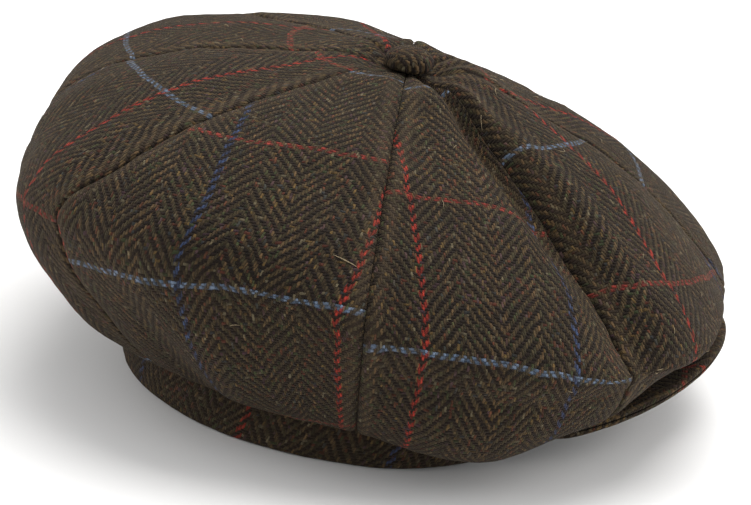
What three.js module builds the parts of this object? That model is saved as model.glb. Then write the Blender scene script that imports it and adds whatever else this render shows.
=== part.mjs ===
// Eight-panel newsboy cap, in millimetres. +Z is up, the peak points to -Y, the wearer's left is +X,
// and the origin is the centre of the head opening, in the plane that the cap's lower edge rests on.
import * as THREE from "three";

// Head opening and hatband
const OPENING_HALF_WIDTH = 90;
const OPENING_HALF_LENGTH = 92;
const BAND_HEIGHT = 15.5;
const BROW_DROP = 1.5; // the hatband is this much lower over the peak
const BROW_ARCH = 17; // the lower edge rises this much at the front
const BROW_START = 0.1; // cosine of the angle, from the front, where the rise begins
const BROW_POWER = 1.85;
const BAND_OUTSIDE = 1; // the hatband's outer face stands this far outside the opening's line
const CLOTH = 2.2;
const INTERLINING = 1;
const SWEATBAND = 1.2;
const SWEATBAND_HEIGHT = 29;
const SWEATBAND_TUCK = 1; // the sweatband starts this far above the lower edge
const GAP = 0.3;
const SEAM_GAP = 0.33; // between crown panels

// Crown
const FRONT_REACH = 123.5;
const BACK_REACH = 129;
const SIDE_REACH = 123;
const SHOULDER_FRONT = 43;
const SHOULDER_BACK = 77;
const SHOULDER_SIDE = 62;
const SHOULDER_RIPPLE = 4;
const CROWN_HEIGHT = 117;
const BUTTON_DIP = 4; // the button draws the crown down this far
const DIP_RADIUS = 14;
const BUTTON_OFFSET = 5; // the button lies this far to the wearer's left
const SHOULDER_AT = 0.66; // where the shoulder comes on the way from button to hatband
const PANEL_PUFF = 2.4;
const LINING = 1;
const LINING_GAP = 0.6;
const PANELS = ["front_left", "left_front", "left_rear", "rear_left", "rear_right", "right_rear",
  "right_front", "front_right"];
const PANEL_ANGLE = 360 / PANELS.length;
const PANEL_STEPS = 6;
const CROWN_STEPS = 13;
const CROWN_EYE = 3.4; // radius left round the button's thread

// Folds in the cloth: each runs along the crown and dips inwards, or sags outwards where depth is
// negative. Angles and widths are in degrees round the cap, from and to are shares of the way down.
const FOLDS = [
  { angle: -49, angleAtRim: -42, width: 7, from: 0.05, to: 0.68, depth: 7 },
  { angle: -130, angleAtRim: -134, width: 10, from: 0.68, to: 0.98, depth: 5 },
  { angle: -64, angleAtRim: -66, width: 16, from: 0.72, to: 0.93, depth: -7 },
];

// Peak
const PEAK_HALF_ANGLE = 48.5;
const PEAK_PROJECTION = 31;
const PEAK_TAPER = 0.85;
const PEAK_SLOPE = 0.35;
const PEAK_CAMBER = 0.6;
const PEAK_CLEARANCE = 1.2;
const PEAK_BOARD = 1.8;
const PEAK_COVER = 1.2;
const PEAK_STEPS = 24;

// Button and press stud
const BUTTON_RADIUS = 9;
const BUTTON_DOME = 5.5;
const STUD_FROM_BAND = 18.5;
const STUD_RADIUS = 5.5;
const STUD_HOLE = 3.2;
const STUD_BALL = 1.9;
const SOCKET_TOP = 4.9;

const DEG = Math.PI / 180;
const cap = new THREE.Group();

const SMOOTH = (x) => x * x * (3 - 2 * x);
const step = (low, high, x) => SMOOTH(Math.min(1, Math.max(0, (x - low) / (high - low))));

// Angles are in degrees round the cap: 0 is the front, 90 the wearer's left.
const outward = (angle) => new THREE.Vector3(Math.sin(angle * DEG), -Math.cos(angle * DEG), 0);

// A value that is `front` at the front, `back` at the back and `side` at both sides.
function around(angle, front, back, side) {
  const c = Math.cos(angle * DEG);
  return side + ((front - back) / 2) * c + ((front + back) / 2 - side) * c * c;
}

function openingRadius(angle) {
  const s = Math.sin(angle * DEG) / OPENING_HALF_WIDTH;
  const c = Math.cos(angle * DEG) / OPENING_HALF_LENGTH;
  return 1 / Math.hypot(s, c);
}

// The lower edge lies flat from the temples to the back and rises over the brow.
const brow = (angle) => Math.max(0, (Math.cos(angle * DEG) - BROW_START) / (1 - BROW_START)) ** BROW_POWER;
const lowerEdge = (angle) => BROW_ARCH * brow(angle);
const bandTop = (angle) => lowerEdge(angle) + BAND_HEIGHT - BROW_DROP * brow(angle);

function shoulderReach(angle) {
  const c = Math.cos(angle * DEG);
  const s = Math.sin(angle * DEG);
  const power = 2.65 - 0.35 * ((1 + c) / 2);
  const length = c > 0 ? FRONT_REACH : BACK_REACH;
  return (Math.abs(s / SIDE_REACH) ** power + Math.abs(c / length) ** power) ** (-1 / power);
}

// How square the crown's upper profile is: 1 is round, more is flatter near the button
const profilePower = (angle) => around(angle, 1.42, 2.42, 1.62);

// The crown before puffs and folds: down from the button to the shoulder, then in to the hatband.
function crownForm(angle, t) {
  const reach = shoulderReach(angle);
  const inner = openingRadius(angle) - 1;
  const shoulder =
    around(angle, SHOULDER_FRONT, SHOULDER_BACK, SHOULDER_SIDE) +
    SHOULDER_RIPPLE * Math.cos(3 * angle * DEG);
  const roundness = 2 / profilePower(angle);
  const top = bandTop(angle);
  if (t < SHOULDER_AT) {
    const u = (t / SHOULDER_AT) * (Math.PI / 2);
    const radius = reach * Math.sin(u) ** roundness;
    const dip = BUTTON_DIP * Math.exp(-((radius / DIP_RADIUS) ** 2));
    const height = shoulder + (CROWN_HEIGHT - shoulder) * Math.cos(u) ** roundness - dip;
    const lean = BUTTON_OFFSET * Math.cos(u) ** 2;
    return outward(angle).multiplyScalar(radius).add(new THREE.Vector3(lean, 0, height));
  }
  const v = ((t - SHOULDER_AT) / (1 - SHOULDER_AT)) * (Math.PI / 2);
  const radius = inner + (reach - inner) * Math.cos(v);
  const height = shoulder - (shoulder - top) * Math.sin(v);
  return outward(angle).multiplyScalar(radius).add(new THREE.Vector3(0, 0, height));
}

function crownRadius(angle, t) {
  const point = crownForm(angle, t);
  return Math.max(CROWN_EYE, Math.hypot(point.x, point.y) - BUTTON_OFFSET);
}

function outwardNormal(angle, t) {
  const d = 0.004;
  const along = crownForm(angle, Math.min(1, t + d)).sub(crownForm(angle, Math.max(0.001, t - d)));
  const across = crownForm(angle + 1, t).sub(crownForm(angle - 1, t));
  return along.cross(across).normalize();
}

// How far the cloth stands off its plain form: panels puff out, folds dip in.
function relief(angle, t) {
  const across = (((angle % PANEL_ANGLE) + PANEL_ANGLE) % PANEL_ANGLE) / PANEL_ANGLE;
  let height = PANEL_PUFF * Math.sin(across * Math.PI) * step(0.05, 0.4, t) * (1 - step(0.75, 1, t));
  for (const fold of FOLDS) {
    const along = (t - fold.from) / (fold.to - fold.from);
    const run = Math.min(1, Math.max(0, along));
    const centre = fold.angle + (fold.angleAtRim - fold.angle) * run;
    const aside = ((((angle - centre) % 360) + 540) % 360) - 180;
    height -= fold.depth * Math.exp(-((aside / fold.width) ** 2)) * Math.sin(run * Math.PI);
  }
  return height;
}

function crownPoint(angle, t, depth) {
  const normal = outwardNormal(angle, t);
  return crownForm(angle, t).addScaledVector(normal, relief(angle, t) - depth);
}

// A closed solid through a row of sections. A section has a face and a back with as many points each.
function sheetSolid(sections, closed = false) {
  const count = sections[0].face.length;
  const ring = 2 * count;
  const positions = [];
  for (const { face, back } of sections) {
    for (const p of [...face, ...[...back].reverse()]) positions.push(p.x, p.y, p.z);
  }
  const index = [];
  const quad = (a, b, c, d) => index.push(a, b, c, a, c, d);
  const last = closed ? sections.length : sections.length - 1;
  for (let i = 0; i < last; i++) {
    const here = i * ring;
    const next = ((i + 1) % sections.length) * ring;
    for (let j = 0; j < ring; j++) {
      const k = (j + 1) % ring;
      if (j < count) quad(here + j, here + k, next + k, next + j);
      else quad(here + k, next + k, next + j, here + j);
    }
  }
  if (!closed) {
    const end = (sections.length - 1) * ring;
    for (let j = 0; j < count - 1; j++) {
      const far = ring - 1 - j;
      quad(j, far, far - 1, j + 1);
      quad(end + j, end + j + 1, end + far - 1, end + far);
    }
  }
  const geometry = new THREE.BufferGeometry();
  geometry.setAttribute("position", new THREE.Float32BufferAttribute(positions, 3));
  geometry.setIndex(signedVolume(positions, index) < 0 ? index.reverse() : index);
  geometry.computeVertexNormals();
  return geometry;
}

function signedVolume(positions, index) {
  const point = (i) => new THREE.Vector3().fromArray(positions, 3 * i);
  let sum = 0;
  for (let i = 0; i < index.length; i += 3) {
    sum += point(index[i]).dot(point(index[i + 1]).cross(point(index[i + 2])));
  }
  return sum;
}

function place(name, geometry, look, parent = cap) {
  const mesh = new THREE.Mesh(geometry, new THREE.MeshStandardMaterial(look));
  mesh.name = name;
  parent.add(mesh);
  return mesh;
}

const TWEED = { color: 0x3f352d, roughness: 0.95, metalness: 0 };
const SATIN = { color: 0x33302c, roughness: 0.45, metalness: 0 };
const STIFFENER = { color: 0xd8d2c4, roughness: 0.85, metalness: 0 };
const LEATHER = { color: 0x3b2a20, roughness: 0.55, metalness: 0 };
const BOARD = { color: 0x23211f, roughness: 0.6, metalness: 0 };
const TIN = { color: 0x9a948a, roughness: 0.35, metalness: 1 };
const THREAD = { color: 0x2b241f, roughness: 0.9, metalness: 0 };

// Where the crown's path leaves the eye round the button's thread
function eyeEdge(angle) {
  const share = (CROWN_EYE / shoulderReach(angle)) ** (profilePower(angle) / 2);
  return (SHOULDER_AT * Math.asin(share)) / (Math.PI / 2);
}

// Crown and lining panels, cut from button to hatband, with a gap between neighbours at each seam
function crownPanel(number, depth, thickness) {
  const first = number * PANEL_ANGLE;
  const sections = [];
  for (let i = 0; i <= PANEL_STEPS; i++) {
    const face = [];
    const back = [];
    const start = eyeEdge(first + (PANEL_ANGLE * i) / PANEL_STEPS);
    for (let j = 0; j < CROWN_STEPS; j++) {
      const t = start + (1 - start) * (j / (CROWN_STEPS - 1)) ** 1.15;
      const seam = (SEAM_GAP / 2 / crownRadius(first, t)) / DEG;
      const angle = first + seam + (PANEL_ANGLE - 2 * seam) * (i / PANEL_STEPS);
      face.push(crownPoint(angle, t, depth));
      back.push(crownPoint(angle, t, depth + thickness));
    }
    sections.push({ face, back });
  }
  return sheetSolid(sections);
}
PANELS.forEach((side, number) => {
  place("crown_panel_" + side, crownPanel(number, 0, CLOTH), TWEED);
  place("lining_panel_" + side, crownPanel(number, CLOTH + LINING_GAP, LINING), SATIN);
});

// An upright strip round the opening: outside and inside faces at fixed distances from its line
function strip(outside, inside, bottom, top, fromAngle, toAngle, steps) {
  const closed = toAngle - fromAngle >= 360;
  const sections = [];
  for (let i = 0; i < (closed ? steps : steps + 1); i++) {
    const angle = fromAngle + ((toAngle - fromAngle) * i) / steps;
    const radius = openingRadius(angle);
    const at = (offset, height) =>
      outward(angle).multiplyScalar(radius + offset).setZ(height);
    sections.push({
      face: [at(outside, bottom(angle)), at(outside, top(angle))],
      back: [at(inside, bottom(angle)), at(inside, top(angle))],
    });
  }
  return sheetSolid(sections, closed);
}
const SEAM_ANGLE = GAP / 2 / OPENING_HALF_LENGTH / DEG;
const bandInside = BAND_OUTSIDE - CLOTH;
const underCrown = (angle) => bandTop(angle) - GAP;
const halfBand = (from, to) =>
  strip(BAND_OUTSIDE, bandInside, lowerEdge, underCrown, from, to, 32);
place("hatband_left", halfBand(SEAM_ANGLE, 180 - SEAM_ANGLE), TWEED);
place("hatband_right", halfBand(180 + SEAM_ANGLE, 360 - SEAM_ANGLE), TWEED);

const stiffOutside = bandInside - GAP;
const stiffInside = stiffOutside - INTERLINING;
const stiffBottom = (angle) => lowerEdge(angle) + SWEATBAND_TUCK;
place(
  "band_interlining",
  strip(stiffOutside, stiffInside, stiffBottom, underCrown, 0, 360, 48),
  STIFFENER,
);
const sweatTop = (angle) => lowerEdge(angle) + SWEATBAND_HEIGHT - 4 * brow(angle);
const sweatOutside = stiffInside - GAP;
place(
  "sweatband",
  strip(sweatOutside, sweatOutside - SWEATBAND, stiffBottom, sweatTop, 0, 360, 64),
  LEATHER,
);

// Peak: a crescent of board between two cloth covers, sewn on along the brow
function peakPoint(angle, run, height) {
  const taper = Math.cos((angle / PEAK_HALF_ANGLE) * (Math.PI / 2)) ** PEAK_TAPER;
  const distance = BAND_OUTSIDE + PEAK_CLEARANCE + PEAK_PROJECTION * taper * run;
  const slope = PEAK_SLOPE * Math.cos(angle * DEG) ** 2;
  const camber = PEAK_CAMBER * Math.sin(run * Math.PI) * taper;
  const z = lowerEdge(angle) + height + slope * distance + camber;
  return outward(angle).multiplyScalar(openingRadius(angle) + distance).setZ(z);
}
function peakLayer(bottom, thickness, margin) {
  const span = PEAK_HALF_ANGLE - 0.8 - margin * 0.5;
  const sections = [];
  for (let i = 0; i <= PEAK_STEPS; i++) {
    const angle = -span + (2 * span * i) / PEAK_STEPS;
    const runs = [0, 0.3, 0.6, 0.85, 1].map((r) => r * (1 - margin * 0.03));
    sections.push({
      face: runs.map((run) => peakPoint(angle, run, bottom + thickness)),
      back: runs.map((run) => peakPoint(angle, run, bottom)),
    });
  }
  return sheetSolid(sections);
}
const boardBottom = PEAK_COVER + GAP;
const topCoverBottom = boardBottom + PEAK_BOARD + GAP;
const peakTop = topCoverBottom + PEAK_COVER;
place("peak_under_cover", peakLayer(0, PEAK_COVER, 0), TWEED);
place("peak_board", peakLayer(boardBottom, PEAK_BOARD, 1), BOARD);
place("peak_top_cover", peakLayer(topCoverBottom, PEAK_COVER, 0), TWEED);

// A turned piece from its half section, a closed line of [radius, height] points
function turned(points, segments = 24) {
  const profile = points.map(([radius, height]) => new THREE.Vector2(radius, height));
  const geometry = new THREE.LatheGeometry(profile, segments);
  geometry.rotateX(Math.PI / 2);
  return geometry;
}
// A domed cup with its rim turned in below: outside radius, height, wall, the rim's inner radius and
// how far below the dome's foot the rim lies
function domedCup(radius, height, wall, rim, depth) {
  const arc = 6;
  const outside = [];
  const inside = [];
  for (let i = 0; i <= arc; i++) {
    const u = (i / arc) * (Math.PI / 2);
    outside.push([radius * Math.cos(u), height * Math.sin(u)]);
    inside.push([(radius - wall) * Math.cos(u), (height - wall) * Math.sin(u)]);
  }
  const lower = [
    [radius - wall, -depth],
    [rim, -depth],
    [rim, -depth - wall],
    [radius, -depth - wall],
  ];
  return turned([...lower, ...outside, ...inside.reverse(), lower[0]]);
}
const button = new THREE.Group();
button.position.set(BUTTON_OFFSET, 0, CROWN_HEIGHT - BUTTON_DIP + 3.3);
cap.add(button);
const coverWall = 0.9;
const shellWall = 0.6;
place("button_cover", domedCup(BUTTON_RADIUS, BUTTON_DOME, coverWall, 6.4, 0.9), TWEED, button);
const shell = domedCup(
  BUTTON_RADIUS - coverWall - GAP,
  BUTTON_DOME - coverWall - 2 * GAP,
  shellWall,
  6.2,
  0.3,
);
shell.translate(0, 0, GAP);
place("button_shell", shell, TIN, button);
const disc = (radius, low, high) => {
  const geometry = new THREE.CylinderGeometry(radius, radius, high - low, 24);
  geometry.rotateX(Math.PI / 2);
  geometry.translate(0, 0, (high + low) / 2);
  return geometry;
};
place("button_back_plate", disc(6.8, 0.3, 1.1), TIN, button);
place("button_thread", disc(1.3, -7, 0), THREAD, button);
place("button_anchor_disc", disc(5, -8.3, -7.3), BOARD, button);

// Press stud: the ball half is sewn on the peak, the socket half under the front of the crown
const studRun = (STUD_FROM_BAND - BAND_OUTSIDE - PEAK_CLEARANCE) / PEAK_PROJECTION;
const studBase = peakPoint(0, studRun, peakTop);
const studTilt = Math.atan(PEAK_SLOPE);
const stud = new THREE.Group();
stud.position.copy(studBase);
stud.rotation.x = -studTilt;
cap.add(stud);
place(
  "press_stud_ball",
  turned([[0, GAP], [STUD_RADIUS, GAP], [STUD_RADIUS, GAP + 0.6], [1.5, GAP + 0.8], [STUD_BALL, 1.9],
    [1.3, 2.6], [0, 2.8], [0, GAP]]),
  TIN,
  stud,
);
place(
  "press_stud_socket",
  turned([[STUD_HOLE, 1.3], [STUD_RADIUS - 0.6, 1.3], [STUD_RADIUS, 2], [STUD_RADIUS, SOCKET_TOP], [0, SOCKET_TOP],
    [0, 3.3], [STUD_HOLE, 3.3], [STUD_HOLE, 1.3]]),
  TIN,
  stud,
);

export default cap;
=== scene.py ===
import math
import random

import bmesh
import bpy
import numpy as np
from mathutils import Matrix, Vector, noise


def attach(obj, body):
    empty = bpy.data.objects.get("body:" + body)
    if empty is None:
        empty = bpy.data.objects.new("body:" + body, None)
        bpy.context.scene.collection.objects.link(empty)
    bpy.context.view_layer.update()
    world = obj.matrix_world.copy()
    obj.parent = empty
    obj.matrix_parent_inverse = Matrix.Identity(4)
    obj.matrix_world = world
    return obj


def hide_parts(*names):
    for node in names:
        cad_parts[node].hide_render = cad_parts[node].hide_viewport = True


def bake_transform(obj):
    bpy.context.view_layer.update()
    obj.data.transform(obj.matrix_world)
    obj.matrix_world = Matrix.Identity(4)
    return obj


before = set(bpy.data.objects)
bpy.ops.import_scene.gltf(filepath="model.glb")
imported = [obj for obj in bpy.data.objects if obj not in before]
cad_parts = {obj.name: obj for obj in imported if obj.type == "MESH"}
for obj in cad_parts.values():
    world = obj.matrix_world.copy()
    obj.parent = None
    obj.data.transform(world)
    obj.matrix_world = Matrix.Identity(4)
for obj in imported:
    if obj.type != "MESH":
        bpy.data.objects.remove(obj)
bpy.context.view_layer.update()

# The shapes below are worked out in millimetres, in the frame of the part, and turned to metres when a
# mesh is made. An angle is in degrees round the cap: 0 is the front (-Y), 90 the wearer's left (+X).
MM = 0.001
SCENE = bpy.context.scene

# ----- camera
VIEW_AZIMUTH = math.radians(-88)
VIEW_ELEVATION = math.radians(20.9)
VIEW_ROLL = math.radians(-6.5)
VIEW_DISTANCE = 1.1
VIEW_TARGET = Vector((0, 0, 0.06))
TARGET_RIGHT = 0.0056  # the target lies this far right of the picture's middle, and this far above it
TARGET_UP = 0.0144

back_to_eye = Vector((
    math.sin(VIEW_AZIMUTH) * math.cos(VIEW_ELEVATION),
    -math.cos(VIEW_AZIMUTH) * math.cos(VIEW_ELEVATION),
    math.sin(VIEW_ELEVATION),
))
level_right = (-back_to_eye).cross(Vector((0, 0, 1))).normalized()
level_up = level_right.cross(-back_to_eye)
view_right = level_right * math.cos(VIEW_ROLL) - level_up * math.sin(VIEW_ROLL)
view_up = level_right * math.sin(VIEW_ROLL) + level_up * math.cos(VIEW_ROLL)
camera = bpy.data.objects.new("camera", bpy.data.cameras.new("camera"))
camera.data.lens = 145
camera.data.sensor_width = 36
camera.data.clip_start = 0.05
middle = VIEW_TARGET - view_right * TARGET_RIGHT - view_up * TARGET_UP
turn = Matrix((view_right, view_up, back_to_eye)).transposed().to_4x4()
camera.matrix_world = Matrix.Translation(middle + back_to_eye * VIEW_DISTANCE) @ turn
SCENE.collection.objects.link(camera)
SCENE.camera = camera

# ----- the cap's form, as in the CAD part
OPENING_HALF_WIDTH = 90
OPENING_HALF_LENGTH = 92
BAND_HEIGHT = 15.5
BROW_DROP = 1.5
BROW_ARCH = 17
BROW_START = 0.1
BROW_POWER = 1.85
CLOTH = 2.0
FRONT_REACH = 123.5
BACK_REACH = 129
SIDE_REACH = 123
SHOULDER_RIPPLE = 4
CROWN_HEIGHT = 117
BUTTON_DIP = 4
DIP_RADIUS = 14
BUTTON_OFFSET = 5
SHOULDER_AT = 0.66
PANEL_PUFF = 1.6
TUCK_FRONT, TUCK_BACK, TUCK_SIDE = 1.55, 1.22, 1.22  # under the shoulder: 1 runs in round, 2 straight
SHOULDER_FRONT, SHOULDER_BACK, SHOULDER_SIDE = 43, 77, 62  # the height of the shoulder
REAR_SEAM_AT = 225
REAR_SEAM_SWING = -7.0  # the right rear seam swings this many degrees at the shoulder
REAR_SEAM_SPREAD = 24  # over this many degrees round it
REAR_SEAM_REACH = 0.17  # and over this much of t
PANEL_ANGLE = 45
CROWN_EYE = 3.4
PANELS = ("front_left", "left_front", "left_rear", "rear_left", "rear_right", "right_rear",
          "right_front", "front_right")


def step(low, high, x):
    x = np.clip((x - low) / (high - low), 0, 1)
    return x * x * (3 - 2 * x)


def bell(x):
    return np.exp(-x * x)


def outward(angle):
    a = np.radians(angle)
    return np.stack([np.sin(a), -np.cos(a), 0 * a], axis=-1)


def around(angle, front, back, side):
    c = np.cos(np.radians(angle))
    return side + (front - back) / 2 * c + ((front + back) / 2 - side) * c * c


def opening_radius(angle):
    a = np.radians(angle)
    return 1 / np.hypot(np.sin(a) / OPENING_HALF_WIDTH, np.cos(a) / OPENING_HALF_LENGTH)


def brow(angle):
    c = np.cos(np.radians(angle))
    return np.maximum(0, (c - BROW_START) / (1 - BROW_START)) ** BROW_POWER


def lower_edge(angle):
    return BROW_ARCH * brow(angle)


def band_top(angle):
    return lower_edge(angle) + BAND_HEIGHT - BROW_DROP * brow(angle)


CROWN_SQUARE = 2.65  # the crown's outline from above, at the back: 2 is an ellipse
CROWN_SQUARE_LESS = 0.35  # at the front


def shoulder_reach(angle):
    a = np.radians(angle)
    c = np.cos(a)
    power = CROWN_SQUARE - CROWN_SQUARE_LESS * ((1 + c) / 2)
    length = np.where(c > 0, FRONT_REACH, BACK_REACH)
    return (np.abs(np.sin(a) / SIDE_REACH) ** power + np.abs(c / length) ** power) ** (-1 / power)


ROUND_FRONT, ROUND_BACK, ROUND_SIDE = 1.42, 2.42, 1.62  # the crown's profile: 2 is an ellipse


def profile_power(angle):
    return around(angle, ROUND_FRONT, ROUND_BACK, ROUND_SIDE)


def crown_form(angle, t):
    """The crown before puffs and folds, from the button at t = 0 over the shoulder to the band at 1."""
    swing = REAR_SEAM_SWING * bell((angle % 360 - REAR_SEAM_AT) / REAR_SEAM_SPREAD)
    angle = angle + swing * bell((t - SHOULDER_AT) / REAR_SEAM_REACH)
    reach = shoulder_reach(angle)
    inner = opening_radius(angle) - 1
    shoulder = around(angle, SHOULDER_FRONT, SHOULDER_BACK, SHOULDER_SIDE)
    shoulder = shoulder + SHOULDER_RIPPLE * np.cos(np.radians(3 * angle))
    roundness = 2 / profile_power(angle)
    u = np.clip(t / SHOULDER_AT, 0, 1) * math.pi / 2
    v = np.clip((t - SHOULDER_AT) / (1 - SHOULDER_AT), 0, 1) * math.pi / 2
    upper = t < SHOULDER_AT
    above = reach * np.sin(u) ** roundness
    tuck = around(angle, TUCK_FRONT, TUCK_BACK, TUCK_SIDE)
    under = inner + (reach - inner) * np.maximum(0, np.cos(v)) ** tuck
    radius = np.where(upper, above, under)
    dip = BUTTON_DIP * bell(above / DIP_RADIUS)
    rise = (CROWN_HEIGHT - shoulder) * np.maximum(0, np.cos(u)) ** roundness - dip
    height = np.where(upper, shoulder + rise, shoulder - (shoulder - band_top(angle)) * np.sin(v) ** tuck)
    point = outward(angle) * radius[..., None]
    point[..., 0] += np.where(upper, BUTTON_OFFSET * np.cos(u) ** 2, 0)
    point[..., 2] += height
    return point


def crown_radius(angle, t):
    p = crown_form(angle, t)
    return np.maximum(CROWN_EYE, np.hypot(p[..., 0], p[..., 1]) - BUTTON_OFFSET)


def crown_normal(angle, t, d=0.02):
    """The form's normal. A larger d turns it gently over the shoulder's edge."""
    along = crown_form(angle, np.minimum(1, t + d)) - crown_form(angle, np.maximum(0.001, t - d))
    across = crown_form(angle + 1, t) - crown_form(angle - 1, t)
    n = np.cross(along, across)
    return n / np.linalg.norm(n, axis=-1, keepdims=True)


def inner_normal(angle, t):
    """The direction of the cloth's thickness and of the lining, turned gently over the shoulder's edge."""
    return crown_normal(angle, t, 0.035 + 0.055 * bell((t - SHOULDER_AT) / 0.12))


def aside_from(angle, centre):
    return (angle - centre + 540) % 360 - 180


def eye_edge(angle):
    share = (CROWN_EYE / shoulder_reach(angle)) ** (profile_power(angle) / 2)
    return SHOULDER_AT * np.arcsin(share) / (math.pi / 2)


def rough(points, size, seed=0):
    """Smooth noise from -1 to 1 at each point, with lumps of about that size in mm."""
    flat = np.asarray(points, float).reshape(-1, 3) / size
    shift = Vector((seed * 17.3, seed * 5.1, seed * 9.7))
    values = [noise.noise(Vector(p) + shift) for p in flat]
    return np.array(values).reshape(np.shape(points)[:-1])


# Folds of the cloth: (angle, angle at its lower end, width in degrees, from t, to t, depth in mm).
# A fold dips inwards along its line, and bulges out where its depth is negative.
FOLDS = (
    (-50, -43, 5, 0.06, 0.72, 7.5),
    (-43, -34, 6.5, 0.06, 0.74, -3),
    (-134, -134, 6, 0.66, 0.99, 3),
    (-124, -122, 6, 0.70, 0.97, 5),
    (-113, -111, 6, 0.68, 0.96, -2.5),
    (-68, -70, 17, 0.74, 0.99, -12),
    (-44, -42, 10, 0.74, 0.99, -7),
    (-55, -48, 7.5, 0.03, 0.46, 5.5),
    (205, 208, 27, 0.60, 0.99, -2),
    (203, 203, 32, 0.63, 0.80, -2.8),
    (5, 12, 30, 0.10, 0.58, -1),
    (8, 8, 26, 0.36, 0.64, 2),
    (-6, -6, 22, 0.65, 0.92, 4.5),
    (-112, -104, 9, 0.30, 0.85, 1.6),
    (-76, -84, 7, 0.12, 0.60, 1.4),
    (42, 46, 6, 0.10, 0.70, 2.8),
    (60, 66, 12, 0.70, 0.94, -4.5),
    (98, 104, 9, 0.55, 0.95, 3.2),
    (140, 146, 9, 0.45, 0.92, 3.4),
    (176, 184, 10, 0.60, 0.96, 3),
    (206, 200, 8, 0.25, 0.80, 2),
)


def soft_relief(angle, t, form):
    """How far the cloth, outer or lining, stands off the plain form: puffs, folds and slack, in mm."""
    across = (angle % PANEL_ANGLE) / PANEL_ANGLE
    height = PANEL_PUFF * np.sin(across * math.pi) * step(0.05, 0.4, t) * (1 - step(0.75, 1, t))
    for centre, at_rim, width, start, end, depth in FOLDS:
        run = np.clip((t - start) / (end - start), 0, 1)
        off = aside_from(angle, centre + (at_rim - centre) * run) / width
        height = height - depth * bell(off) * np.sin(run * math.pi)
    free = step(0.03, 0.22, t) * (1 - step(0.9, 1, t))
    return height + free * (1.7 * rough(form, 42, 1) + 0.8 * rough(form, 20, 2))


GATHER_RADIUS = 20
GATHER_RISE = 3.2


def gather(angle, radius):
    """The crown drawn in round the button: the cloth rises in lumps about it and puckers under it."""
    ring = bell((radius - GATHER_RADIUS) / 9)
    lean = 0.55 + 0.45 * np.cos(np.radians(angle - 50))
    lumps = 1 + 0.16 * np.sin(np.radians(5 * angle) + 0.6) + 0.1 * np.sin(np.radians(8 * angle) + 2.0)
    pleats = 0.4 * np.sin(np.radians(13 * angle) + 1.3 * np.sin(np.radians(2 * angle)))
    return GATHER_RISE * ring * lean * lumps + pleats * bell((radius - 12) / 6) - 0.8 * bell((radius - 7) / 4)


PEAK_HALF_ANGLE = 48.5
PEAK_PROJECTION = 31
PEAK_TAPER = 0.85
PEAK_SLOPE = 0.35
PEAK_CAMBER = 0.6
PEAK_FOOT = 2.2  # from the opening's line to the peak's inner edge
PEAK_MIDDLE = 2.4  # the height of the middle of its thickness
PEAK_END_THICKNESS = 0.3  # how thick it is at its ends, as a share


def peak_point(angle, run, height):
    taper = np.cos(np.radians(angle / PEAK_HALF_ANGLE * 90)) ** PEAK_TAPER
    distance = PEAK_FOOT + PEAK_PROJECTION * taper * run
    slope = PEAK_SLOPE * np.cos(np.radians(angle)) ** 2
    camber = PEAK_CAMBER * np.sin(np.minimum(run, 1) * math.pi) * taper
    point = outward(angle) * (opening_radius(angle) + distance)[..., None]
    point[..., 2] = lower_edge(angle) + height + slope * distance + camber
    return point


STUD_RUN = (18.5 - PEAK_FOOT) / PEAK_PROJECTION
STUD_TILT = Matrix.Rotation(-math.atan(PEAK_SLOPE), 3, "X")
STUD_AT = Vector(peak_point(np.array(0.0), np.array(STUD_RUN), 4.8))
SOCKET_TOP = 4.9  # how far above STUD_AT the crown's cloth rests on the stud's upper half


def drawn_to_stud(points, t):
    """How far the stud's upper half, sewn to the crown's front, draws the cloth to itself."""
    up = np.array(STUD_TILT @ Vector((0, 0, 1)))
    off = points - np.array(STUD_AT)
    height = off @ up
    reach = np.linalg.norm(off - height[..., None] * up, axis=-1)
    hold = (1 - step(7, 32, reach)) * step(0.66, 0.78, t) * (1 - step(0.93, 1, t))
    return (np.minimum(0, SOCKET_TOP + 0.6 - height) * hold)[..., None] * up


# ----- mesh tools
def add_object(name, points, faces):
    mesh = bpy.data.meshes.new(name)
    mesh.from_pydata([tuple(p) for p in np.asarray(points, float) * MM], [], faces)
    mesh.validate()
    mesh.polygons.foreach_set("use_smooth", [True] * len(mesh.polygons))
    mesh.update()
    obj = bpy.data.objects.new(name, mesh)
    SCENE.collection.objects.link(obj)
    return obj


def set_uv(obj, per_vertex):
    """A UV layer named cloth, in metres on the cloth, from one (u, v) in mm for each vertex."""
    layer = obj.data.uv_layers.new(name="cloth")
    corner = np.empty(len(obj.data.loops), dtype=int)
    obj.data.loops.foreach_get("vertex_index", corner)
    layer.data.foreach_set("uv", (np.asarray(per_vertex, float)[corner] * MM).ravel())


def set_value(obj, name, values):
    attribute = obj.data.attributes.new(name, "FLOAT", "POINT")
    attribute.data.foreach_set("value", np.asarray(values, np.float32).ravel())


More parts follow.
